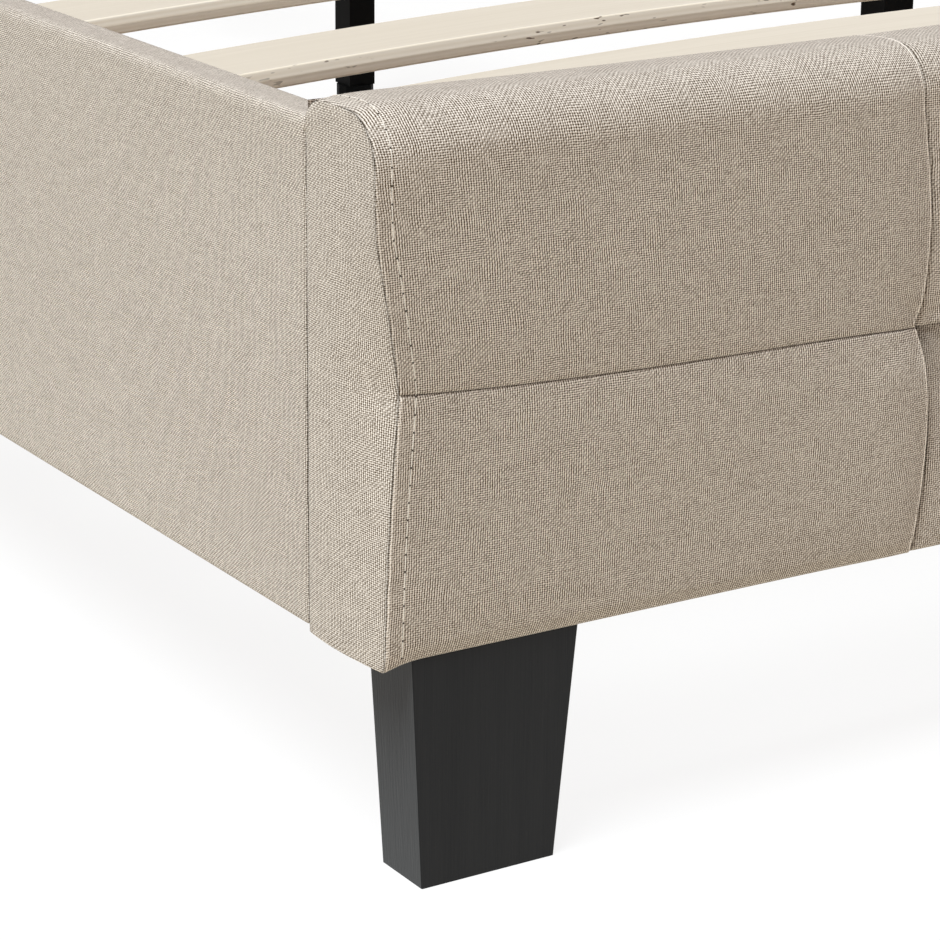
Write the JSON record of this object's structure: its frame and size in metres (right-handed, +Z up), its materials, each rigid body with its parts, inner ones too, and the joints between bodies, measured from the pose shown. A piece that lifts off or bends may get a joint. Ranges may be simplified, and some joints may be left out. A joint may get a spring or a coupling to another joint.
{
  "type": "upholstered bed frame",
  "caption": "Low bed frame with padded headboard, tufted footboard and side rails in woven cloth, tapered dark legs and bowed sprung slats on a centre beam.",
  "frame": {"origin": "on the floor, under the middle of the bed's bounding box", "axes": "+Y from the footboard to the headboard, +Z up, +X to the right seen from the foot of the bed"},
  "size_m": [1.62, 2.19, 1.1411],
  "materials": {
    "upholstery": "oatmeal plain-weave cloth, matt",
    "back_cloth": "black non-woven dust cloth",
    "foam": "open-cell foam, matt",
    "black_wood": "black stained wood, satin, open grain",
    "birch": "laminated birch, clear lacquer",
    "plywood": "raw plywood",
    "softwood": "planed softwood",
    "black_plastic": "black moulded plastic",
    "zinc_steel": "zinc plated steel",
    "black_steel": "black powder coat"
  },
  "bodies": {
    "bed_frame": {"beam_hangers": "black_steel", "bracket_bolts": "zinc_steel", "centre_beam": "black_steel", "centre_bolts": "zinc_steel", "centre_slat_caps": "black_plastic", "footboard_back_cover": "upholstery", "footboard_battens": "softwood", "footboard_blocks": "softwood", "footboard_cover": "upholstery", "footboard_foam": "foam", "footboard_left_leg": "black_wood", "footboard_panel": "plywood", "footboard_right_leg": "black_wood", "front_centre_leg": "black_steel", "front_left_bracket": "black_steel", "front_right_bracket": "black_steel", "headboard_back_cloth": "back_cloth", "headboard_blocks": "softwood", "headboard_cover": "upholstery", "headboard_foam": "foam", "headboard_left_leg": "black_wood", "headboard_left_stile": "softwood", "headboard_panel": "plywood", "headboard_rails": "softwood", "headboard_right_leg": "black_wood", "headboard_right_stile": "softwood", "left_rail_board": "softwood", "left_rail_cover": "upholstery", "left_rail_foam": "foam", "left_slat_caps": "black_plastic", "left_slat_ledge": "softwood", "leg_inserts": "black_plastic", "leg_studs": "zinc_steel", "rear_centre_leg": "black_steel", "rear_left_bracket": "black_steel", "rear_right_bracket": "black_steel", "right_rail_board": "softwood", "right_rail_cover": "upholstery", "right_rail_foam": "foam", "right_slat_caps": "black_plastic", "right_slat_ledge": "softwood", "slat_pair_01": "birch", "slat_pair_02": "birch", "slat_pair_03": "birch", "slat_pair_04": "birch", "slat_pair_05": "birch", "slat_pair_06": "birch", "slat_pair_07": "birch", "slat_pair_08": "birch", "slat_pair_09": "birch", "slat_pair_10": "birch", "slat_pair_11": "birch", "slat_pair_12": "birch", "slat_pair_13": "birch", "slat_pair_14": "birch"},
    "front_foot": {"front_levelling_foot": "black_plastic"},
    "rear_foot": {"rear_levelling_foot": "black_plastic"}
  },
  "joints": [
    {"name": "front_foot_level", "type": "slide", "parent": "bed_frame", "child": "front_foot", "axis": [0, 0, -1], "range_m": [0, 0.015]},
    {"name": "rear_foot_level", "type": "slide", "parent": "bed_frame", "child": "rear_foot", "axis": [0, 0, -1], "range_m": [0, 0.015]}
  ]
}
